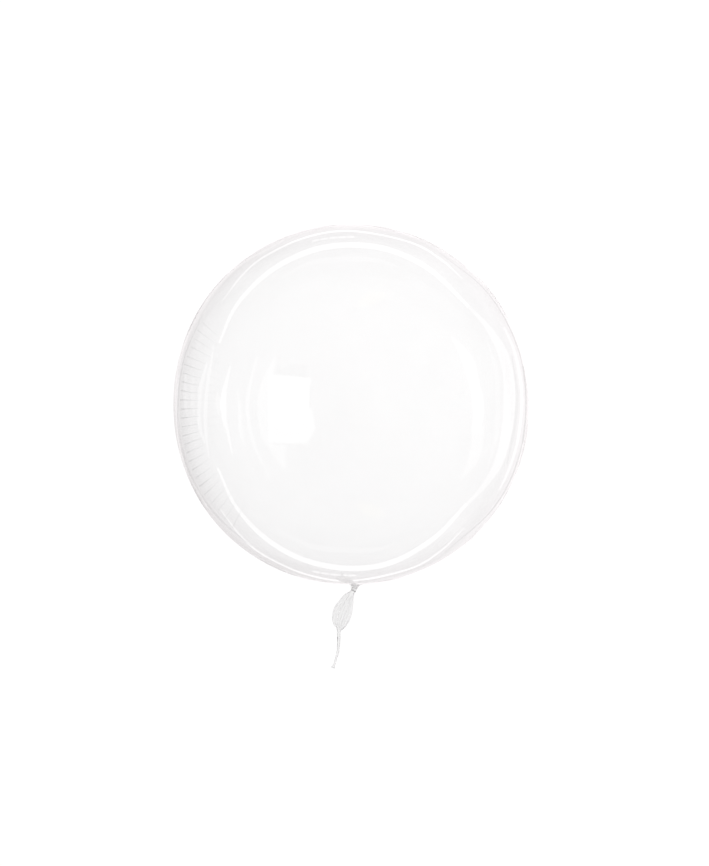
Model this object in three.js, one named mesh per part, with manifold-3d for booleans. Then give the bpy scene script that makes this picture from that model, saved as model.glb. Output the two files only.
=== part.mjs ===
// A clear bubble balloon: one bubble of thin see-through film, blown up tight and round,
// with its own neck knotted at the mouth. Below the knot the gathered neck opens into a
// flat, creased leaf of film and then twists into a thin strand. It is one piece of film,
// and as the bubble is sealed it is modelled solid.
// The balloon lies loose on the floor: +Z is up, the neck points down and forwards, along
// -Y, and the origin is the middle of the flat spot that the balloon rests on. Millimetres.
import * as THREE from "three";
import { mergeVertices } from "three/addons/utils/BufferGeometryUtils.js";
import Module from "manifold-3d";

// Bubble
const BUBBLE_RADIUS = 225; // half its width, across the neck's line
const BUBBLE_HALF_LENGTH = 227.5; // half its length, along the neck's line
const BLUNTNESS = 2.04; // 2 is an ellipse; a little more fills out the crown and the neck end
const REST_RADIUS = 28; // flat spot pressed out by the balloon's weight
const NECK_DIP = 38; // degrees that the neck points below the horizontal

// Knot and neck
const NECK_OFFSET = 4.4; // the throat is gathered a little to the right of the crown's line
const TAIL_LENGTH = 108; // from the bubble to the strand's end, along the neck's line
const TAIL_DROOP = 17; // how far the strand's end has sagged away from that line
const KNOT_RADIUS = 3.8; // the film wound round the throat, to the middle of its roll
const KNOT_ROLL = 2.5; // radius of that roll of film
const KNOT_PLACE = 2.6; // how far below the bubble the first turn sits
const KNOT_TILTS = [-12, 28]; // degrees that the two turns lean
const TURN_RISE = 3; // from the first turn to the second
const PLEATS = 5; // lengthwise creases round the neck
const PLEAT_DEPTH = 0.26; // as a share of the neck's thickness
const PLEAT_TWIST = 0.3; // turns that the creases wind along the whole neck

// Fineness
const BUBBLE_SIDES = 72;
const BUBBLE_RINGS = 36;
const NECK_SIDES = 30;
const NECK_RINGS = 42;
const KNOT_SIDES = [12, 24]; // round the roll, round the throat

// The neck, station by station: how far out from the bubble, how far to the right of the
// crown's line, and its half width and half thickness there.
const NECK_STATIONS = [
  { out: -14, side: NECK_OFFSET, width: 21, thick: 21 }, // inside the bubble's wall
  { out: -3, side: NECK_OFFSET, width: 10.5, thick: 10.5 },
  { out: 2, side: NECK_OFFSET, width: 4.8, thick: 4.8 }, // the throat, under the knot
  { out: 13.3, side: 1.5, width: 2.5, thick: 2.3 }, // pinched below the knot
  { out: 24, side: -6.5, width: 9.6, thick: 3.2 },
  { out: 35, side: -10.9, width: 12.4, thick: 4 }, // the leaf at its widest
  { out: 46, side: -13.4, width: 11, thick: 3.8 },
  { out: 55, side: -14.6, width: 6.4, thick: 3 },
  { out: 60.5, side: -15.8, width: 2.8, thick: 2.4 }, // where the strand starts
  { out: 84, side: -16.7, width: 1.9, thick: 1.8 },
  { out: 101, side: -21, width: 1.6, thick: 1.4 },
  { out: TAIL_LENGTH, side: -23.4, width: 2.6, thick: 1.2 }, // the strand's frayed end
];

const clearFilm = new THREE.MeshStandardMaterial({
  name: "clear_film",
  color: "#f2eff0",
  roughness: 0.06,
  metalness: 0,
  transparent: true,
  opacity: 0.3,
});

const wasm = await Module();
wasm.setup();

function solidOf(geometry) {
  const bare = geometry.clone();
  bare.deleteAttribute("normal");
  bare.deleteAttribute("uv");
  const merged = mergeVertices(bare, 1e-3);
  return new wasm.Manifold(
    new wasm.Mesh({
      numProp: 3,
      vertProperties: new Float32Array(merged.attributes.position.array),
      triVerts: new Uint32Array(merged.index.array),
    }),
  );
}

function geometryOf(solid) {
  const mesh = solid.getMesh();
  return new THREE.BufferGeometry()
    .setAttribute("position", new THREE.BufferAttribute(mesh.vertProperties, 3))
    .setIndex(new THREE.BufferAttribute(mesh.triVerts, 1));
}

// The bubble about its own middle, with the crown at +Y and the neck end at -Y.
function bubble() {
  const profile = [];
  for (let ring = 0; ring <= BUBBLE_RINGS; ring += 1) {
    const angle = (ring / BUBBLE_RINGS - 0.5) * Math.PI;
    const along = Math.sin(angle);
    const filled = Math.max(1 - Math.abs(along) ** BLUNTNESS, 0) ** (1 / BLUNTNESS);
    const onAxis = ring === 0 || ring === BUBBLE_RINGS;
    profile.push(
      new THREE.Vector2(onAxis ? 0 : BUBBLE_RADIUS * filled, BUBBLE_HALF_LENGTH * along),
    );
  }
  return new THREE.LatheGeometry(profile, BUBBLE_SIDES);
}

// One smooth curve through what the neck's stations say, from 0 at the bubble to 1.
function neckCurve(toVector) {
  return new THREE.CatmullRomCurve3(NECK_STATIONS.map(toVector), false, "centripetal");
}

// Where the middle of the neck lies, on the same centre as the bubble.
function neckPlace({ out, side }) {
  const droop = TAIL_DROOP * (Math.max(out, 0) / TAIL_LENGTH) ** 2;
  return new THREE.Vector3(side, -BUBBLE_HALF_LENGTH - out, -droop);
}

// The neck is a stack of flattened rings that follow its middle line. Each ring is creased,
// and the creases wind round it on the way down.
function neck() {
  const middle = neckCurve(neckPlace);
  const section = neckCurve(({ width, thick, out }) => new THREE.Vector3(width, thick, out));
  const points = [];
  for (let ring = 0; ring <= NECK_RINGS; ring += 1) {
    const share = ring / NECK_RINGS;
    const centre = middle.getPoint(share);
    const along = middle.getTangent(share);
    const across = new THREE.Vector3(1, 0, 0).addScaledVector(along, -along.x).normalize();
    const through = new THREE.Vector3().crossVectors(along, across);
    const { x: width, y: thick } = section.getPoint(share);
    for (let side = 0; side < NECK_SIDES; side += 1) {
      const angle = (side / NECK_SIDES) * 2 * Math.PI;
      const crease = 0.5 - 0.5 * Math.cos(PLEATS * (angle + PLEAT_TWIST * 2 * Math.PI * share));
      const reach = 1 - PLEAT_DEPTH * crease;
      points.push(
        centre
          .clone()
          .addScaledVector(across, width * reach * Math.cos(angle))
          .addScaledVector(through, thick * reach * Math.sin(angle)),
      );
    }
  }
  return closedLoft(points, NECK_SIDES);
}

// Joins a stack of rings, each of the same number of points, and closes both its ends.
function closedLoft(ringPoints, sides) {
  const points = [...ringPoints];
  const lastRing = ringPoints.length / sides - 1;
  const faces = [];
  for (let ring = 0; ring < lastRing; ring += 1) {
    for (let side = 0; side < sides; side += 1) {
      const a = ring * sides + side;
      const b = ring * sides + ((side + 1) % sides);
      faces.push(a, b, a + sides, b, b + sides, a + sides);
    }
  }
  for (const ring of [0, lastRing]) {
    const rim = ringPoints.slice(ring * sides, (ring + 1) * sides);
    const middle = rim.reduce((sum, point) => sum.add(point), new THREE.Vector3());
    points.push(middle.divideScalar(sides));
    for (let side = 0; side < sides; side += 1) {
      const a = ring * sides + side;
      const b = ring * sides + ((side + 1) % sides);
      faces.push(points.length - 1, ...(ring === 0 ? [b, a] : [a, b]));
    }
  }
  return new THREE.BufferGeometry().setFromPoints(points).setIndex(faces);
}

// One turn of the knot: the neck's own film, rolled and wound round the throat.
function knotTurn(tilt, turn) {
  return new THREE.TorusGeometry(KNOT_RADIUS, KNOT_ROLL, ...KNOT_SIDES)
    .rotateX(Math.PI / 2)
    .rotateZ(THREE.MathUtils.degToRad(tilt))
    .translate(NECK_OFFSET, -BUBBLE_HALF_LENGTH - KNOT_PLACE - turn * TURN_RISE, 0);
}

// Everything joined about the bubble's middle, then laid down and pressed flat on the floor.
function balloon() {
  const pressed = BUBBLE_RADIUS - Math.sqrt(BUBBLE_RADIUS ** 2 - REST_RADIUS ** 2);
  const lying = new THREE.Matrix4().makeRotationX(THREE.MathUtils.degToRad(NECK_DIP));
  const resting = bubble().applyMatrix4(lying);
  resting.computeBoundingBox();
  lying.setPosition(0, 0, -resting.boundingBox.min.z - pressed);
  const floor = new THREE.BoxGeometry(4 * REST_RADIUS, 4 * REST_RADIUS, 2 * REST_RADIUS);
  const pieces = [bubble(), neck(), ...KNOT_TILTS.map(knotTurn)];
  return pieces
    .map((piece) => solidOf(piece.applyMatrix4(lying)))
    .reduce((joined, piece) => joined.add(piece))
    .subtract(solidOf(floor.translate(0, 0, -REST_RADIUS)));
}

const film = new THREE.Mesh(geometryOf(balloon()), clearFilm);
film.name = "bubble_balloon";

const group = new THREE.Group();
group.add(film);

export default group;
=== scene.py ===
# A clear bubble balloon lying loose on a pale floor: the tight round bubble, the film
# gathered into its throat, the knot, the flat creased leaf of neck film below the knot and
# the thin twisted strand that the neck ends in. Metres, +Z up, the neck towards -Y.
import math

import bpy
import numpy as np
from mathutils import Matrix, Vector


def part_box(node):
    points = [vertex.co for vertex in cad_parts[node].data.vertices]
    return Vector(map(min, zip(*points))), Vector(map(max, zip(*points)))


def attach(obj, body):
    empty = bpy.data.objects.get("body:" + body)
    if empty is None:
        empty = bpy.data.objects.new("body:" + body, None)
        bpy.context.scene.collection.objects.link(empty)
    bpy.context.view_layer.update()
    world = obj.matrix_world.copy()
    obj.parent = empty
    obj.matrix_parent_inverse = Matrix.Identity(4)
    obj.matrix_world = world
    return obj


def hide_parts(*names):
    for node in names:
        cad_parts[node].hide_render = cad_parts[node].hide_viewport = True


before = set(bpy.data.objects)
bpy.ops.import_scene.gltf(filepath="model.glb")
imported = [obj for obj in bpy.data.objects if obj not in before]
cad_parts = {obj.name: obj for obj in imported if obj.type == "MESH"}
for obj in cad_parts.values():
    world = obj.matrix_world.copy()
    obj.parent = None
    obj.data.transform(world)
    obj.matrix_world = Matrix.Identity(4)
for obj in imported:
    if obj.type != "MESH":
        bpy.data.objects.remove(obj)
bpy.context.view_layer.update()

MM = 0.001

# Sizes that the solids are made from, in millimetres
BUBBLE_RADIUS = 225.0
BUBBLE_HALF_LENGTH = 227.5
BLUNTNESS = 2.04
NECK_DIP = 38.0  # degrees below the horizontal
NECK_OFFSET = 4.4
TAIL_LENGTH = 108.0
TAIL_DROOP = 17.0
KNOT_RADIUS = 3.8
KNOT_ROLL = 2.5
KNOT_PLACE = 2.6
TURN_RISE = 3.0

# The film
FILM = 0.2  # wall thickness drawn; the real film is about 0.05 mm
INSET = 0.15  # how far the film keeps inside the solid's own surface
AROUND = 288  # points round the bubble and the neck
BUBBLE_RINGS = 160
NECK_RINGS = 72
CROWN_GAP = 0.012  # radians from the crown's middle to the first ring
THROAT_LIP = 11.0  # radius at which the bubble passes into the throat
LEAN_REACH = 60.0  # radius within which the bubble leans over to the off-centre throat

# Gathers and creases
GATHERS = 17  # film folds that run into the throat
BROAD_GATHERS = 11  # wider folds among them
GATHER_START = 8.0  # radius at which they are deepest
GATHER_REACH = 34.0  # radius at which they have died away
GATHER_DEPTH = 0.4
PLEAT_SHARE = 0.13  # of the neck's width
LEAF_FOLDS = 3.4  # creases across the leaf
LEAF_OPENING = 9.0  # length over which the bundle spreads out into the leaf
LEAF_CLOSING = 8.0  # length over which it closes again
LEAF_CREASE = 0.58  # of the leaf's thickness
LEAF_FINE_CREASE = 0.16
STRAND_TURNS = 5.0  # turns that the strand is twisted
STRAND_LENGTH = 48.0
STRAND_GROOVES = 4
GROOVE_SHARE = 0.2  # of the strand's width

# How the knot is wound
KNOT_TURNS = 1.85
KNOT_START = 0.4  # radians
KNOT_LEAN = -12.0  # degrees, where it starts
KNOT_LEAN_CHANGE = 40.0  # degrees more, where it ends
KNOT_PLEATS = 6
KNOT_PLEAT_SHARE = 0.1  # of the roll's radius
KNOT_SWAY = 0.25  # how much the turns wander in and out
KNOT_WAVE = 0.35  # and up and down
KNOT_INSET = 0.2  # how far the roll keeps inside the solid's own
KNOT_STEPS = 110
KNOT_SIDES = 28

# Sizes of the faint patterns in the film, in millimetres
HAZE_SIZE = 55
WAVE_SIZE = 70
CREASE_SIZE = 4
HAZIEST = 0.02  # the roughest that the tight film gets

# The neck below the bubble: how far out, how far to the right, half width, half thickness.
NECK_STATIONS = (
    (2.0, NECK_OFFSET, 4.8, 4.8),
    (7.0, NECK_OFFSET - 1.0, 3.5, 3.3),
    (11.0, 0.8, 3.9, 2.5),
    (17.0, -3.4, 7.2, 2.7),
    (24.0, -6.5, 9.7, 2.9),
    (35.0, -10.9, 12.2, 3.5),
    (46.0, -13.4, 11.0, 3.4),
    (55.0, -14.6, 6.4, 2.8),
    (60.5, -15.8, 2.8, 2.3),
    (84.0, -16.7, 1.9, 1.7),
    (101.0, -21.0, 1.6, 1.3),
    (TAIL_LENGTH - 0.3, -23.4, 2.5, 1.0),
)
LEAF_SPAN = (9.0, 60.5)  # where the leaf starts and ends
CUT_RING = 8  # the ring of the neck, inside the knot, where the tight film becomes bunched


def smooth_step(low, high, value):
    """0 below low, 1 above high, and an even slope between them."""
    share = np.clip((value - low) / (high - low), 0.0, 1.0)
    return share * share * (3.0 - 2.0 * share)


def catmull_rom(points, shares):
    """The curve through a row of points, at shares from 0 to 1 of its length in points."""
    points = np.asarray(points, float)
    ends = np.vstack([2 * points[0] - points[1], points, 2 * points[-1] - points[-2]])
    at = np.clip(np.asarray(shares) * (len(points) - 1), 0, len(points) - 1 - 1e-9)
    first = at.astype(int)
    t = (at - first)[:, None]
    a, b, c, d = (ends[first + k] for k in range(4))
    return 0.5 * (
        2 * b
        + (c - a) * t
        + (2 * a - 5 * b + 4 * c - d) * t**2
        + (3 * b - 3 * c + d - a) * t**3
    )


def unit(vectors):
    return vectors / np.linalg.norm(vectors, axis=-1, keepdims=True)


def bubble_rings(turn):
    """Rings of film from just below the crown's middle to the lip of the throat."""
    lip = math.asin(THROAT_LIP / BUBBLE_RADIUS)
    angles = np.linspace(CROWN_GAP, math.pi - lip, BUBBLE_RINGS)
    along = np.cos(angles)
    filled = (1 - np.abs(along) ** BLUNTNESS) ** (1 / BLUNTNESS)
    radius = (BUBBLE_RADIUS - INSET) * filled
    height = (BUBBLE_HALF_LENGTH - INSET) * along
    near_throat = np.where(along < 0, 1 - smooth_step(GATHER_START, GATHER_REACH, radius), 0.0)
    folds = gathers(turn)[None, :] * near_throat[:, None] ** 2 * GATHER_DEPTH
    leaning = 1 - smooth_step(THROAT_LIP, LEAN_REACH, radius)
    sideways = NECK_OFFSET * np.where(along < 0, leaning, 0.0)
    x = (radius[:, None] - folds) * np.cos(turn) + sideways[:, None]
    z = (radius[:, None] - folds) * np.sin(turn)
    y = np.broadcast_to(height[:, None], x.shape) + folds
    return np.stack([x, y, z], axis=-1)


def gathers(turn):
    """How high each fold of the gathered film stands, from -1 to 1, round the throat."""
    narrow = np.cos(GATHERS * turn + 0.7 * np.sin(3 * turn))
    broad = np.cos(BROAD_GATHERS * turn + 1.3)
    return 0.6 * narrow + 0.4 * broad


def neck_rings(turn):
    """Rings of film from the throat, through the knot, the leaf and the strand."""
    shares = np.linspace(0, 1, NECK_RINGS)
    stations = catmull_rom(NECK_STATIONS, shares)
    out, side, width, thick = stations.T
    middle = np.stack(
        [
            side,
            -BUBBLE_HALF_LENGTH - out,
            -TAIL_DROOP * (np.maximum(out, 0) / TAIL_LENGTH) ** 2,
        ],
        axis=-1,
    )
    along = unit(np.gradient(middle, axis=0))
    across = unit(np.array([1.0, 0, 0]) - along * along[:, :1])
    through = np.cross(along, across)

    # A round, pleated bundle: the throat and the strand.
    leaf = smooth_step(LEAF_SPAN[0], LEAF_SPAN[0] + LEAF_OPENING, out)
    leaf *= 1 - smooth_step(LEAF_SPAN[1] - LEAF_CLOSING, LEAF_SPAN[1], out)
    below = smooth_step(LEAF_SPAN[1] - 4, LEAF_SPAN[1] + 3, out)
    wound = 2 * math.pi * STRAND_TURNS * np.maximum(out - LEAF_SPAN[1], 0) / STRAND_LENGTH
    pleats = PLEAT_SHARE * gathers(turn)[None, :] * (1 - below[:, None])
    twist = np.cos(STRAND_GROOVES * turn[None, :] + wound[:, None])
    reach = 1 - GROOVE_SHARE + pleats + GROOVE_SHARE * twist * below[:, None]
    bundle_u = width[:, None] * reach * np.cos(turn)
    bundle_v = thick[:, None] * reach * np.sin(turn)

    # The flattened leaf: two layers of film that share the same lengthwise creases.
    u = np.cos(turn)[None, :]
    drift = 0.9 * (out[:, None] - 35.0) / 24.0
    phase = math.pi * LEAF_FOLDS * (u + 0.12 * drift) + 0.5 * drift
    ridge = np.arcsin(0.93 * np.sin(phase)) / 1.2
    fine = 0.25 * np.sin(2.7 * phase + 1.1) * np.cos(0.13 * out[:, None])
    apart = (0.16 + 0.1 * np.sin(2.1 * phase)) * np.sin(turn)[None, :]
    leaf_u = width[:, None] * (u + 0.03 * np.sin(turn)[None, :] * np.sin(0.35 * out[:, None]))
    leaf_v = thick[:, None] * (LEAF_CREASE * ridge + LEAF_FINE_CREASE * fine + apart)

    share = leaf[:, None]
    sideways = (bundle_u * (1 - share) + leaf_u * share)[..., None]
    outward = (bundle_v * (1 - share) + leaf_v * share)[..., None]
    return middle[:, None, :] + across[:, None, :] * sideways + through[:, None, :] * outward


def ring_normals(rings):
    """The outward direction at each point of a stack of rings."""
    round_it = np.roll(rings, -1, axis=1) - np.roll(rings, 1, axis=1)
    down_it = np.gradient(rings, axis=0)
    return unit(np.cross(round_it, down_it))


def lying():
    """The turn and the move that lay the balloon down with its top at the solid's top."""
    low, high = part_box("bubble_balloon")
    tilt = math.radians(NECK_DIP)
    along = np.linspace(-1, 1, 4001)
    filled = (1 - np.abs(along) ** BLUNTNESS) ** (1 / BLUNTNESS)
    top = np.max(
        BUBBLE_RADIUS * filled * math.cos(tilt) + BUBBLE_HALF_LENGTH * along * math.sin(tilt)
    )
    return Matrix.Translation((0, 0, high[2] - top * MM)) @ Matrix.Rotation(tilt, 4, "X")


def laid(points):
    """Points in the balloon's own millimetres, laid down on the floor in metres."""
    matrix = np.array(LYING)
    return (points * MM) @ matrix[:3, :3].T + matrix[:3, 3]


def grid_faces(rows, columns, start, flip=False):
    """Quads over a stack of rings whose first vertex has the index start."""
    row = np.arange(rows - 1)[:, None] * columns + start
    a = row + np.arange(columns)[None, :]
    b = row + (np.arange(columns)[None, :] + 1) % columns
    quads = np.stack([a, b, b + columns, a + columns], axis=-1).reshape(-1, 4)
    return quads[:, ::-1] if flip else quads


def mesh_object(name, vertices, faces, material):
    mesh = bpy.data.meshes.new(name)
    mesh.from_pydata([tuple(v) for v in vertices], [], [tuple(int(i) for i in f) for f in faces])
    mesh.update()
    mesh.shade_smooth()
    mesh.materials.append(material)
    made = bpy.data.objects.new(name, mesh)
    bpy.context.collection.objects.link(made)
    return made


def film_skin(name, rings, crowned, material):
    """Rings of film as one skin with an outer and an inner side, cut open where it ends."""
    wall = FILM * (1 - 0.5 * smooth_step(-6, 2, -BUBBLE_HALF_LENGTH - rings[:, 0, 1]))
    inner = rings - ring_normals(rings) * wall[:, None, None]
    rows = len(rings)
    outside, inside = laid(rings.reshape(-1, 3)), laid(inner.reshape(-1, 3))
    outside[:, 2] = np.maximum(outside[:, 2], 0.0)
    inside[:, 2] = np.maximum(inside[:, 2], FILM * MM)
    vertices = [outside, inside]
    count = rows * AROUND
    last = (rows - 1) * AROUND
    ring = np.arange(AROUND)
    onward = (ring + 1) % AROUND
    faces = [*grid_faces(rows, AROUND, 0), *grid_faces(rows, AROUND, count, flip=True)]
    faces += [
        (last + a, last + b, count + last + b, count + last + a) for a, b in zip(ring, onward)
    ]
    if crowned:
        crown = [[0, BUBBLE_HALF_LENGTH - INSET, 0], [0, BUBBLE_HALF_LENGTH - INSET - FILM, 0]]
        vertices.append(laid(np.array(crown)))
        faces += [(2 * count, b, a) for a, b in zip(ring, onward)]
        faces += [(2 * count + 1, count + a, count + b) for a, b in zip(ring, onward)]
    else:
        faces += [(b, a, count + a, count + b) for a, b in zip(ring, onward)]
    return mesh_object(name, np.concatenate(vertices), faces, material)


def knot(material):
    """The neck's film, pleated into a hollow roll and wound almost twice round the throat."""
    steps, sides = KNOT_STEPS, KNOT_SIDES
    share = np.linspace(0, 1, steps)
    angle = 2 * math.pi * KNOT_TURNS * share + KNOT_START
    lean = np.radians(KNOT_LEAN + KNOT_LEAN_CHANGE * share)
    radius = KNOT_RADIUS - KNOT_SWAY + KNOT_SWAY * np.sin(2 * angle)
    flat_x = radius * np.cos(angle)
    drop = KNOT_PLACE + TURN_RISE * share + KNOT_WAVE * np.sin(3 * angle)
    middle = np.stack(
        [
            NECK_OFFSET + flat_x * np.cos(lean),
            -BUBBLE_HALF_LENGTH - drop + flat_x * np.sin(lean),
            radius * np.sin(angle),
        ],
        axis=-1,
    )
    along = unit(np.gradient(middle, axis=0))
    across = unit(np.cross(along, np.array([0, 1.0, 0])))
    through = np.cross(along, across)
    taper = np.sqrt(np.clip(np.sin(math.pi * np.clip(share, 0.004, 0.996)) * 6, 0, 1))
    roll = (KNOT_ROLL - KNOT_INSET) * taper * (1 - 0.2 * share)
    around = np.arange(sides) * 2 * math.pi / sides
    wave = np.cos(KNOT_PLEATS * around[None, :] + 5 * share[:, None])
    pleat = 1 - KNOT_PLEAT_SHARE + KNOT_PLEAT_SHARE * wave
    vertices, faces = [], []
    for depth in (0.0, FILM / 2):
        start = len(vertices)
        reach = (roll - depth)[:, None] * pleat
        rings = (
            middle[:, None, :]
            + across[:, None, :] * (reach * np.cos(around))[..., None]
            + through[:, None, :] * (reach * np.sin(around))[..., None]
        )
        ends = middle[[0, -1]] + along[[0, -1]] * depth * np.array([[1], [-1]])
        vertices += list(laid(np.concatenate([rings.reshape(-1, 3), ends])))
        ring = np.arange(sides) + start
        onward = np.roll(ring, -1)
        last = (steps - 1) * sides
        tip = start + steps * sides
        side = [tuple(face) for face in grid_faces(steps, sides, start)]
        side += [(tip, b, a) for a, b in zip(ring, onward)]
        side += [(tip + 1, last + a, last + b) for a, b in zip(ring, onward)]
        faces += [face[::-1] for face in side] if depth else side
    return mesh_object("neck_knot", vertices, faces, material)


def srgb(hex_colour, alpha=1.0):
    """An sRGB hex colour as linear light."""
    parts = [int(hex_colour[i : i + 2], 16) / 255 for i in (1, 3, 5)]
    linear = [p / 12.92 if p <= 0.04045 else ((p + 0.055) / 1.055) ** 2.4 for p in parts]
    return (*linear, alpha)


def add_node(tree, kind, settings=None, links=None):
    """Adds one node. A link's value is another node's output or a plain value."""
    made = tree.nodes.new(kind)
    for name, value in (settings or {}).items():
        setattr(made, name, value)
    for socket, value in (links or {}).items():
        if isinstance(value, bpy.types.NodeSocket):
            tree.links.new(value, made.inputs[socket])
        else:
            made.inputs[socket].default_value = value
    return made


def clear_stretch_film():
    """Clear blown polyurethane film, stretched tight: glass-like gloss, faint waviness where
    the film has stretched unevenly, and a breath of haze from handling."""
    material = bpy.data.materials.new("clear_stretch_film")
    material.use_nodes = True
    tree = material.node_tree
    tree.nodes.clear()
    place = add_node(tree, "ShaderNodeTexCoord").outputs["Object"]
    per_metre = 1 / MM
    haze = add_node(
        tree,
        "ShaderNodeTexNoise",
        links={"Vector": place, "Scale": per_metre / HAZE_SIZE, "Detail": 3.0, "Roughness": 0.6},
    )
    roughness = add_node(
        tree,
        "ShaderNodeMapRange",
        links={"Value": haze.outputs["Fac"], "To Min": 0.0, "To Max": HAZIEST},
    )
    waves = add_node(
        tree,
        "ShaderNodeTexNoise",
        links={"Vector": place, "Scale": per_metre / WAVE_SIZE, "Detail": 1.5, "Roughness": 0.4},
    )
    bump = add_node(
        tree,
        "ShaderNodeBump",
        links={"Height": waves.outputs["Fac"], "Strength": 0.05, "Distance": 0.004},
    )
    shader = add_node(
        tree,
        "ShaderNodeBsdfPrincipled",
        links={
            "Base Color": srgb("#ffffff"),
            "Roughness": roughness.outputs["Result"],
            "IOR": 1.5,
            "Transmission Weight": 1.0,
            "Normal": bump.outputs["Normal"],
        },
    )
    add_node(tree, "ShaderNodeOutputMaterial", links={"Surface": shader.outputs["BSDF"]})
    return material


def creased_film_bunch():
    """The same film, creased by hand when the neck was flattened and tied: each layer holds
    back a little light, so it looks slightly grey instead of clear."""
    material = bpy.data.materials.new("creased_film_bunch")
    material.use_nodes = True
    tree = material.node_tree
    tree.nodes.clear()
    place = add_node(tree, "ShaderNodeTexCoord").outputs["Object"]
    creases = add_node(
        tree,
        "ShaderNodeTexNoise",
        links={"Vector": place, "Scale": 1 / (CREASE_SIZE * MM), "Detail": 3.0, "Roughness": 0.6},
    )
    bump = add_node(
        tree,
        "ShaderNodeBump",
        links={"Height": creases.outputs["Fac"], "Strength": 0.5, "Distance": 0.0006},
    )
    shader = add_node(
        tree,
        "ShaderNodeBsdfPrincipled",
        links={
            "Base Color": srgb("#fcfcfc"),
            "Roughness": 0.03,
            "IOR": 1.5,
            "Transmission Weight": 0.985,
            "Normal": bump.outputs["Normal"],
        },
    )
    add_node(tree, "ShaderNodeOutputMaterial", links={"Surface": shader.outputs["BSDF"]})
    return material


# The view: square to the neck, so the camera looks down on the lying balloon.
VIEW_WIDTH, VIEW_HEIGHT = 709, 866
LENS = 85.0
SENSOR = 36.0
VIEW_TILT = math.radians(90 - NECK_DIP)
RIGHT = Vector((1, 0, 0))
UP = Vector((0, math.sin(VIEW_TILT), math.cos(VIEW_TILT)))
AWAY = Vector((0, math.cos(VIEW_TILT), -math.sin(VIEW_TILT)))
BUBBLE_WIDTH_SHARE = 0.50268  # of the view's width
BUBBLE_ACROSS = -0.00451  # of the view's width, from its middle
BUBBLE_UPWARD = 0.03992  # of the view's width, from its middle


def aim_camera(middle):
    """A long lens far enough off for the bubble to fill its share of the view."""
    reach = BUBBLE_WIDTH_SHARE / 2 * VIEW_WIDTH / VIEW_HEIGHT * SENSOR / LENS
    radius = BUBBLE_RADIUS * MM
    distance = radius * math.sqrt(1 + 1 / reach**2)
    view_width = distance * SENSOR / LENS * VIEW_WIDTH / VIEW_HEIGHT
    camera = bpy.data.objects.new("camera", bpy.data.cameras.new("camera"))
    camera.data.lens = LENS
    camera.data.sensor_width = SENSOR
    offset = RIGHT * BUBBLE_ACROSS * view_width + UP * BUBBLE_UPWARD * view_width
    camera.matrix_world = Matrix.Translation(middle - offset - AWAY * distance) @ Matrix(
        (RIGHT, UP, -AWAY)
    ).transposed().to_4x4()
    bpy.context.collection.objects.link(camera)
    bpy.context.scene.camera = camera


# Light. Tones are linear light, where 1 is the white behind the balloon.
FLOOR_TONE = 1.05
STUDIO_TINT = (1.0, 0.968, 0.976)
FILM_INDEX = 1.5
CARD_REACH = 4.0  # how far the painted reflection cards stand from the bubble's middle
CARD_STEP = 0.02  # how much nearer each further layer of cards stands
ROOM_TONE = 0.75  # what a dark card's painted shade hides, about
BRIGHT_SIDE = (RIGHT * 0.93 + UP * 0.37).normalized()  # where the room is brightest, only as the near wall mirrors it: a painted reflection
SIDE_SWING = 0.27  # how much brighter that painted reflected side is than the middle
SWING_SOFTNESS = 0.3  # how slowly the light changes near the room's middle
MOTTLE = 0.1  # how uneven the room's light is
NEAR_CROSSINGS = 3.0  # light that only the near wall mirrored has crossed less film than this
FLOOR_RADIUS = 14.0
FLOOR_DROP = 0.0002  # how far the floor lies below the balloon, so that they don't share a plane
FLOOR_BOUNCE = 0.06  # light that the floor gives back from the room
TICK_FOCUS = (-0.33, 0.0)  # where the painted dark slat bars of the reflection point, in shares of the radius
BOUNCES = 32  # light runs far along inside the film
# The room's tone, as the film shows it at a share of the bubble's radius
ROOM_TONES = (
    (0.0, 0.6),
    (0.45, 0.61),
    (0.6, 0.62),
    (0.78, 0.62),
    (0.86, 0.68),
    (0.92, 0.72),
    (0.94, 0.76),
    (0.965, 0.81),
    (0.975, 0.85),
    (0.986, 0.97),
    (0.996, 1.1),
)


def on_near_wall(tree):
    """1 for light that only the near wall of the film has mirrored, otherwise 0."""
    path = add_node(tree, "ShaderNodeLightPath")
    near = add_node(
        tree,
        "ShaderNodeMath",
        {"operation": "LESS_THAN"},
        {0: path.outputs["Transmission Depth"], 1: NEAR_CROSSINGS},
    )
    mirrored = add_node(
        tree,
        "ShaderNodeMath",
        {"operation": "MULTIPLY", "use_clamp": True},
        {0: near.outputs["Value"], 1: path.outputs["Glossy Depth"]},
    )
    return mirrored.outputs["Value"]


def painted_glint_or_shade_card(name, tone, shade, tint):
    """A card that only the near wall mirrors: it adds a painted highlight to the room, or hides some of it
    as painted shade.
    It lights nothing else, and nothing is seen through the film of it."""
    material = bpy.data.materials.new(name)
    material.use_nodes = True
    material.cycles.emission_sampling = "NONE"
    tree = material.node_tree
    tree.nodes.clear()
    mirrored = on_near_wall(tree)
    strength = add_node(
        tree, "ShaderNodeMath", {"operation": "MULTIPLY"}, {0: mirrored, 1: tone}
    )
    light = add_node(
        tree,
        "ShaderNodeEmission",
        links={"Color": srgb(tint), "Strength": strength.outputs["Value"]},
    )
    left = add_node(
        tree,
        "ShaderNodeMath",
        {"operation": "MULTIPLY_ADD"},
        {0: mirrored, 1: -shade, 2: 1.0},
    )
    # Painted shade: a see-through sheet that dims what the near wall mirrors of the room.
    painted_shade_veil = add_node(
        tree, "ShaderNodeBsdfTransparent", links={"Color": left.outputs["Value"]}
    )
    both = add_node(
        tree, "ShaderNodeAddShader", links={0: light.outputs["Emission"], 1: painted_shade_veil.outputs["BSDF"]}
    )
    add_node(tree, "ShaderNodeOutputMaterial", links={"Surface": both.outputs["Shader"]})
    return material


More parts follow.
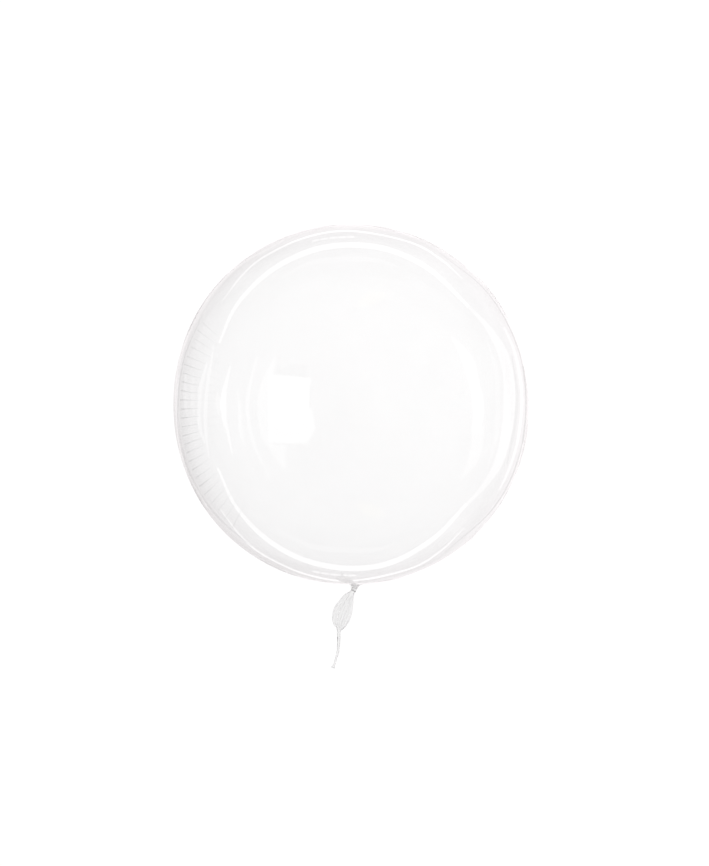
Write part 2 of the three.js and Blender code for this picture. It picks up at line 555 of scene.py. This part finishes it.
def mirrored_share(share):
    """How much light one wall of film mirrors at a share of the bubble's radius."""
    into = math.sqrt(max(1 - share**2, 0.0))
    inside = math.sqrt(1 - (share / FILM_INDEX) ** 2)
    crossed = ((into - FILM_INDEX * inside) / (into + FILM_INDEX * inside)) ** 2
    level = ((inside - FILM_INDEX * into) / (inside + FILM_INDEX * into)) ** 2
    one_side = (crossed + level) / 2
    return 2 * one_side / (1 + one_side)


def card_point(x, y, reach):
    """Where a card must stand for the film to show it at x to the right of the bubble's
    middle and y above it, in shares of its radius, as seen from the scene's own camera.
    The card then stays there, so other views show it elsewhere on the bubble."""
    middle = LYING.translation
    eye = bpy.context.scene.camera.matrix_world.translation
    radius = BUBBLE_RADIUS * MM
    distance = (middle - eye).length
    seen = radius * distance / math.sqrt(distance**2 - radius**2)
    forward = (middle - eye).normalized()
    right = forward.cross(UP).normalized()
    ray = (middle + (right * x + right.cross(forward) * y) * seen - eye).normalized()
    to_middle = (middle - eye).dot(ray)
    depth = math.sqrt(max(radius**2 - (middle - eye - ray * to_middle).length_squared, 0))
    hit = eye + ray * (to_middle - depth) - middle
    outward = hit.normalized()
    away = ray - outward * 2 * ray.dot(outward)
    ahead = hit.dot(away)
    return middle + hit + away * (math.sqrt(ahead**2 + reach**2 - radius**2) - ahead)


def painted_reflection_cards(name, patches, gain, layer=0, tint="#ffffff"):
    """Painted reflection cards of one tone, which light nothing. Each patch is a grid of rows of (x, y) as
    card_point takes them, and gain is the painted highlight that the film's mirror image adds there, or,
    below zero, the painted shade that takes light away."""
    vertices, faces, shares = [], [], []
    for rows in patches:
        start, columns = len(vertices), len(rows[0])
        reach = CARD_REACH - CARD_STEP * layer
        vertices += [card_point(x, y, reach) for row in rows for x, y in row]
        shares += [math.hypot(x, y) for row in rows for x, y in row]
        for r in range(len(rows) - 1):
            for c in range(columns - 1):
                a = start + r * columns + c
                faces.append((a, a + 1, a + 1 + columns, a + columns))
    # Above zero the card paints a highlight into the near wall's reflection, below zero it paints shade
    # there.
    change = gain / mirrored_share(sum(shares) / len(shares))
    shade = min(max(-change, 0.0) / ROOM_TONE, 1.0)
    made = mesh_object(name, vertices, faces, painted_glint_or_shade_card(name, max(change, 0.0), shade, tint))
    for sight in ("camera", "diffuse", "volume_scatter", "shadow"):
        setattr(made, "visible_" + sight, False)


def ribbon(middle, half_widths, steps=24):
    """A smooth band along a line of points, as two rows of edge points."""
    shares = np.linspace(0, 1, steps)
    line = catmull_rom(middle, shares)
    width = catmull_rom([(w,) for w in half_widths], shares)
    along = unit(np.gradient(line, axis=0))
    side = np.stack([-along[:, 1], along[:, 0]], axis=-1) * width
    return [line - side, line + side]


def between(left, right, steps=20):
    """A patch between two smooth edges."""
    shares = np.linspace(0, 1, steps)
    return [catmull_rom(left, shares), catmull_rom(right, shares)]


def polar(degrees, share):
    """A point at an angle clockwise from the top, at a share of the radius."""
    turn = math.radians(degrees)
    return share * math.sin(turn), share * math.cos(turn)


def sweep(places, half_widths, steps=48):
    """A ribbon through places that are given as angle and share of the radius."""
    return ribbon([polar(*place) for place in places], half_widths, steps)


def mirror(patches):
    """The same patches below the middle as above it."""
    return [[[(x, -y) for x, y in row] for row in patch] for patch in patches]


def slats(low, high, inner, outer, count, cover):
    """Short patches side by side, from one angle to another."""
    pitch = (high - low) / count
    ends = [(low + pitch * k, low + pitch * (k + cover)) for k in range(count)]
    return [[[polar(at, inner), polar(at, outer)] for at in pair] for pair in ends]


def ticks(high, low, share, count, length, half_width):
    """Thin bars, evenly spaced up and down, that run in from the bubble's left edge."""
    patches = []
    for y in np.linspace(high, low, count):
        start = np.array((-math.sqrt(share**2 - y**2), y))
        end = start + (np.array(TICK_FOCUS) - start) * length
        patches.append(ribbon([start, (start + end) / 2, end], (half_width, half_width, 0.001), 6))
    return patches


def painted_window_reflections():
    """Painted highlights: a window to the left and the curtain edges on both sides of it, as the film would
    mirror them, with a painted shade along the window's top.
    """
    left = [(-0.461, 0.156), (-0.466, 0.04), (-0.466, -0.03), (-0.462, -0.11), (-0.458, -0.193)]
    right = [(-0.229, 0.138), (-0.239, -0.007), (-0.221, -0.035), (-0.202, -0.125), (-0.243, -0.2)]
    pane = [np.array(left), np.array(right)]
    # Painted highlight: the window as the near wall would mirror it.
    painted_reflection_cards("window", [pane], 0.05, layer=1)
    upper_left = [(-0.43, 0.256), (-0.503, 0.116), (-0.528, 0.004), (-0.514, -0.142), (-0.478, -0.215)]
    upper_right = [(-0.423, 0.25), (-0.444, 0.116), (-0.45, 0.004), (-0.45, -0.142), (-0.44, -0.215)]
    lower_left = [(-0.478, -0.209), (-0.447, -0.259), (-0.411, -0.307), (-0.377, -0.349)]
    lower_right = [(-0.368, -0.209), (-0.368, -0.259), (-0.368, -0.304), (-0.368, -0.349)]
    beside = [between(upper_left, upper_right), between(lower_left, lower_right)]
    painted_reflection_cards("window_side", beside, 0.03)
    top = [(-0.416, 0.217), (-0.391, 0.178), (-0.349, 0.214), (-0.287, 0.214), (-0.25, 0.205)]
    foot = [(-0.416, 0.15), (-0.391, 0.15), (-0.349, 0.146), (-0.287, 0.142), (-0.25, 0.14)]
    # Painted shade along the window's top.
    painted_reflection_cards("painted_valance_shade", [[np.array(top), np.array(foot)]], -0.022)
    thin = [(-0.528, 0.25), (-0.575, 0.082), (-0.584, -0.03), (-0.551, -0.198), (-0.454, -0.404)]
    outer = [(-0.64, 0.08), (-0.627, -0.03), (-0.622, -0.142), (-0.595, -0.215)]
    curtains = [ribbon(thin, (0.004, 0.009, 0.01, 0.008, 0.003)), ribbon(outer, (0.003, 0.009, 0.003))]
    painted_reflection_cards("curtain_edges", curtains, 0.035)


def painted_right_reflections():
    """Painted highlights of a tall soft light to the right, seen three times in the curve of the film, with
    a painted shade gap beside them.
    """
    inner = [(0.557, 0.368), (0.615, 0.25), (0.662, 0.11), (0.682, -0.03), (0.676, -0.135)]
    outer = [(0.564, 0.366), (0.679, 0.25), (0.722, 0.11), (0.748, -0.03), (0.722, -0.135)]
    # Painted highlights of the soft light; the cards light nothing.
    painted_reflection_cards("crescent", [between(inner, outer)], 0.045)
    inner = [(0.676, -0.135), (0.676, -0.198), (0.65, -0.31), (0.608, -0.405)]
    outer = [(0.748, -0.1), (0.742, -0.198), (0.705, -0.31), (0.618, -0.405)]
    painted_reflection_cards("crescent_foot", [between(inner, outer)], 0.028)
    band = [(50, 0.846), (57, 0.86), (64, 0.877), (72, 0.892), (80, 0.896), (90, 0.888), (100, 0.884)]
    band += [(110, 0.882), (117, 0.872), (124, 0.857), (131, 0.842)]
    widths = (0.008, 0.01, 0.018, 0.029, 0.031, 0.033, 0.029, 0.026, 0.018, 0.011, 0.008)
    painted_reflection_cards("side_band", [sweep(band, widths)], 0.05)
    beside = [(66, 0.835), (78, 0.832), (90, 0.822), (102, 0.83), (114, 0.838)]
    painted_reflection_cards("side_band_inner", [sweep(beside, (0.004, 0.012, 0.014, 0.012, 0.004))], 0.015)
    gap = [(74, 0.94), (84, 0.934), (92, 0.928), (100, 0.922), (110, 0.93)]
    # Painted shade in the gap beside the band.
    painted_reflection_cards("painted_gap_shade", [sweep(gap, (0.003, 0.008, 0.008, 0.008, 0.003))], -0.03, layer=1)
    line = [(64, 0.957), (73, 0.96), (84, 0.96), (92, 0.956), (103, 0.954), (112, 0.952), (119, 0.952)]
    painted_reflection_cards("side_line", [sweep(line, (0.003, 0.007, 0.008, 0.008, 0.008, 0.007, 0.003))], 0.075)


def painted_ring_reflections():
    """Painted highlights of a ring of tube light overhead, seen as bright arcs along the top and the foot.
    """
    top = [(-66, 0.812), (-50, 0.841), (-32, 0.86), (-15, 0.878), (0, 0.8825), (15, 0.878), (32, 0.86)]
    foot = [(246, 0.823), (230, 0.851), (214, 0.876), (197, 0.898), (180, 0.908), (165, 0.9), (148, 0.868)]
    widths = (0.006, 0.01, 0.013, 0.015, 0.0155, 0.015, 0.013, 0.008)
    rings = [sweep([*top, (51, 0.847)], widths), sweep([*foot, (130, 0.843)], widths)]
    # Painted highlights: bright arcs and lines along the top and the foot.
    painted_reflection_cards("rings", rings, 0.1)
    top = [(-52, 0.918), (-40, 0.938), (-30, 0.949), (-15, 0.959), (0, 0.962), (20, 0.955), (32, 0.943)]
    foot = [(232, 0.93), (220, 0.953), (210, 0.964), (195, 0.973), (180, 0.978), (160, 0.966), (148, 0.947)]
    widths = (0.002, 0.0045, 0.005, 0.005, 0.005, 0.005, 0.0045, 0.002)
    lines = [sweep([*top, (42, 0.928)], widths), sweep([*foot, (137, 0.927)], widths)]
    painted_reflection_cards("edge_lines", lines, 0.14)
    painted_reflection_cards("dashes", slats(-13.5, 1.5, 0.925, 0.935, 5, 0.86), 0.1)
    painted_reflection_cards("foot_dashes", slats(178.5, 193.5, 0.943, 0.953, 5, 0.86), 0.13)
    inside = [sweep([(-30, 0.8), (-14, 0.81), (8, 0.806), (20, 0.8)], (0.003, 0.014, 0.014, 0.003))]
    painted_reflection_cards("ring_echo", inside + mirror(inside), 0.018)


def painted_left_reflections():
    """Painted reflections of slatted blinds to the left: bars of painted shade between painted pale
    uprights, with painted shade and a painted glow along the edge.
    """
    streak = [(-0.681, 0.2), (-0.71, 0.08), (-0.72, 0.0), (-0.714, -0.075), (-0.695, -0.142), (-0.67, -0.26)]
    # Painted highlights: pale streaks and uprights.
    painted_reflection_cards("streak", [ribbon(streak, (0.005, 0.011, 0.016, 0.012, 0.008, 0.004))], 0.06)
    wide = [(-0.754, 0.06), (-0.745, 0.0), (-0.748, -0.05)]
    painted_reflection_cards("streak_side", [ribbon(wide, (0.004, 0.018, 0.004))], 0.03)
    first = [(-0.812, 0.222), (-0.834, 0.138), (-0.85, 0.054), (-0.85, -0.11), (-0.822, -0.2)]
    second = [(-0.775, 0.31), (-0.802, 0.138), (-0.812, 0.054), (-0.818, -0.1), (-0.8, -0.282)]
    uprights = [ribbon(line, (0.005, 0.009, 0.01, 0.009, 0.004)) for line in (first, second)]
    painted_reflection_cards("uprights", uprights, 0.045)
    outer = [(-0.93, 0.17), (-0.934, 0.05), (-0.926, -0.05)]
    inner = [(-0.885, 0.17), (-0.892, 0.05), (-0.88, -0.06)]
    pale = [ribbon(line, (0.004, 0.012, 0.004)) for line in (outer, inner)]
    painted_reflection_cards("pale_uprights", pale, 0.03)
    # Painted shade: the dark slat bars.
    painted_reflection_cards("painted_slat_shade", ticks(0.26, -0.49, 0.962, 17, 0.17, 0.0023), -0.12, layer=1)
    painted_reflection_cards("painted_slat_shade_top", ticks(0.445, 0.307, 0.95, 4, 0.2, 0.0023), -0.06, layer=1)
    painted_reflection_cards("painted_slat_shade_foot", ticks(-0.537, -0.675, 0.95, 4, 0.2, 0.0023), -0.06, layer=1)
    painted_reflection_cards("painted_slat_shade_inner", ticks(0.23, -0.28, 0.81, 13, 0.13, 0.0025), -0.03, layer=1)
    # Painted shade along the left edge, and a painted glow just outside it.
    shadow = [(300, 0.966), (284, 0.97), (268, 0.975), (255, 0.98), (243, 0.977), (230, 0.969), (216, 0.96)]
    widths = (0.002, 0.004, 0.005, 0.006, 0.006, 0.005, 0.002)
    painted_reflection_cards("left_shadow", [sweep(shadow, widths)], -0.08, layer=2)
    glow = [(338, 0.985), (315, 0.99), (285, 0.99), (255, 0.99), (235, 0.985)]
    painted_reflection_cards("left_glow", [sweep(glow, (0.003, 0.008, 0.008, 0.008, 0.003))], 0.06)
    behind = [(285, 0.958), (268, 0.96), (255, 0.962), (243, 0.956), (228, 0.95)]
    painted_reflection_cards("left_dusk", [sweep(behind, (0.003, 0.01, 0.018, 0.016, 0.003))], -0.012)


def painted_far_reflections():
    """Two faint warm painted highlights, and the painted dark outline on the far right."""
    warm = [ribbon([(0.04, 0.54), (0.11, 0.575), (0.19, 0.6)], (0.01, 0.035, 0.012))]
    # Painted highlights in a warm tint; they light nothing.
    painted_reflection_cards("painted_warm_glints", warm + mirror(warm), 0.018, tint="#ffe890")
    # Painted shade: the dark outline and the dark strip along the right edge.
    outline = [(30, 0.972), (50, 0.978), (68, 0.982), (85, 0.982), (105, 0.982), (125, 0.978), (148, 0.97)]
    widths = (0.001, 0.003, 0.004, 0.004, 0.004, 0.004, 0.001)
    painted_reflection_cards("right_shadow", [sweep(outline, widths)], -0.08)
    brown = [(78, 0.986), (90, 0.988), (102, 0.986)]
    painted_reflection_cards("painted_dark_strip", [sweep(brown, (0.006, 0.008, 0.006))], -0.06, layer=1)


def floor():
    """A pale floor, lit evenly. The film doesn't mirror it, so its edges stay readable."""
    sides = 96
    rim = [
        (FLOOR_RADIUS * math.cos(angle), FLOOR_RADIUS * math.sin(angle), -FLOOR_DROP)
        for angle in (k * math.tau / sides for k in range(sides))
    ]
    material = bpy.data.materials.new("pale_floor")
    material.use_nodes = True
    tree = material.node_tree
    tree.nodes.clear()
    shader = add_node(
        tree,
        "ShaderNodeBsdfPrincipled",
        links={
            "Base Color": srgb("#595959"),
            "Roughness": 1.0,
            "Specular IOR Level": 0.0,
            "Emission Color": srgb("#ffffff"),
            "Emission Strength": FLOOR_TONE - FLOOR_BOUNCE,
        },
    )
    clear = add_node(tree, "ShaderNodeBsdfTransparent")
    path = add_node(tree, "ShaderNodeLightPath")
    mixed = add_node(
        tree,
        "ShaderNodeMixShader",
        links={0: path.outputs["Glossy Depth"], 1: shader.outputs["BSDF"], 2: clear.outputs["BSDF"]},
    )
    add_node(tree, "ShaderNodeOutputMaterial", links={"Surface": mixed.outputs["Shader"]})
    made = mesh_object("floor", rim, [range(sides)], material)


def studio():
    """A soft grey room for the film to mirror, with white behind the balloon. Its tones run
    in rings round the view's own direction, and one side of it is brighter, but only in the near wall's
    reflection: a painted reflection."""
    world = bpy.data.worlds.new("studio")
    bpy.context.scene.world = world
    world.use_nodes = True
    tree = world.node_tree
    tree.nodes.clear()
    way = add_node(tree, "ShaderNodeTexCoord").outputs["Generated"]
    ahead = add_node(
        tree, "ShaderNodeVectorMath", {"operation": "DOT_PRODUCT"}, {0: way, 1: AWAY}
    )
    squared = add_node(
        tree,
        "ShaderNodeMapRange",
        links={"Value": ahead.outputs["Value"], "From Min": -1.0, "From Max": 1.0},
    )
    share = add_node(
        tree, "ShaderNodeMath", {"operation": "SQRT"}, {0: squared.outputs["Result"]}
    )
    ramp = add_node(tree, "ShaderNodeValToRGB", links={"Fac": share.outputs["Value"]})
    elements = ramp.color_ramp.elements
    while len(elements) < len(ROOM_TONES):
        elements.new(0.5)
    for element, (position, tone) in zip(elements, ROOM_TONES):
        element.position = position
        element.color = (*(tone * part for part in STUDIO_TINT), 1)
    across = add_node(
        tree, "ShaderNodeVectorMath", {"operation": "DOT_PRODUCT"}, {0: way, 1: BRIGHT_SIDE}
    )
    level = add_node(
        tree, "ShaderNodeVectorMath", {"operation": "SCALE"}, {0: AWAY, "Scale": ahead.outputs["Value"]}
    )
    flat = add_node(
        tree, "ShaderNodeVectorMath", {"operation": "DISTANCE"}, {0: way, 1: level.outputs["Vector"]}
    )
    sideways = add_node(
        tree, "ShaderNodeMath", {"operation": "ADD"}, {0: flat.outputs["Value"], 1: SWING_SOFTNESS}
    )
    lean = add_node(
        tree,
        "ShaderNodeMath",
        {"operation": "DIVIDE"},
        {0: across.outputs["Value"], 1: sideways.outputs["Value"]},
    )
    # The brighter side is painted into the near wall's reflection only; it lights nothing.
    near_lean = add_node(
        tree, "ShaderNodeMath", {"operation": "MULTIPLY"}, {0: lean.outputs["Value"], 1: on_near_wall(tree)}
    )
    swing = add_node(
        tree,
        "ShaderNodeMath",
        {"operation": "MULTIPLY_ADD"},
        {0: near_lean.outputs["Value"], 1: SIDE_SWING / ROOM_TONE, 2: 1.0},
    )
    shapes = add_node(
        tree, "ShaderNodeTexNoise", links={"Vector": way, "Scale": 3.5, "Detail": 5.0}
    )
    mottle = add_node(
        tree,
        "ShaderNodeMapRange",
        links={
            "Value": shapes.outputs["Fac"],
            "From Min": 0.3,
            "From Max": 0.7,
            "To Min": 1 - MOTTLE,
            "To Max": 1 + MOTTLE,
        },
    )
    dimmed = add_node(
        tree,
        "ShaderNodeMath",
        {"operation": "MULTIPLY"},
        {0: swing.outputs["Value"], 1: mottle.outputs["Result"]},
    )
    room = add_node(
        tree,
        "ShaderNodeVectorMath",
        {"operation": "SCALE"},
        {0: ramp.outputs["Color"], "Scale": dimmed.outputs["Value"]},
    )
    path = add_node(tree, "ShaderNodeLightPath")
    direct = add_node(
        tree,
        "ShaderNodeMath",
        {"operation": "ADD", "use_clamp": True},
        {0: path.outputs["Is Camera Ray"], 1: path.outputs["Is Transmission Ray"]},
    )
    bounced = add_node(
        tree,
        "ShaderNodeMath",
        {"operation": "ADD"},
        {0: path.outputs["Diffuse Depth"], 1: path.outputs["Glossy Depth"]},
    )
    behind = add_node(
        tree,
        "ShaderNodeMath",
        {"operation": "SUBTRACT", "use_clamp": True},
        {0: direct.outputs["Value"], 1: bounced.outputs["Value"]},
    )
    white = (FLOOR_TONE, FLOOR_TONE, FLOOR_TONE, 1)
    tone = add_node(
        tree,
        "ShaderNodeMix",
        {"data_type": "RGBA"},
        {"Factor": behind.outputs["Value"], 6: room.outputs["Vector"], 7: white},
    )
    back = add_node(tree, "ShaderNodeBackground", links={"Color": tone.outputs[2]})
    add_node(tree, "ShaderNodeOutputWorld", links={"Surface": back.outputs["Background"]})


LYING = lying()
tight_film = clear_stretch_film()
bunched_film = creased_film_bunch()
turn = np.arange(AROUND) * 2 * math.pi / AROUND
neck = neck_rings(turn)
bubble_part = np.concatenate([bubble_rings(turn), neck[: CUT_RING + 1]])
bubble = film_skin("bubble_film", bubble_part, True, tight_film)
tail = film_skin("neck_tail", neck[CUT_RING:], False, bunched_film)
tied = knot(tight_film)
for piece in (bubble, tail, tied):
    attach(piece, "root")
    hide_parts("bubble_balloon")

aim_camera(LYING.translation)
floor()
studio()
painted_window_reflections()
painted_right_reflections()
painted_ring_reflections()
painted_left_reflections()
painted_far_reflections()
bpy.context.scene.view_settings.view_transform = "Standard"
for bounces in ("max_bounces", "glossy_bounces", "transmission_bounces"):
    setattr(bpy.context.scene.cycles, bounces, BOUNCES)
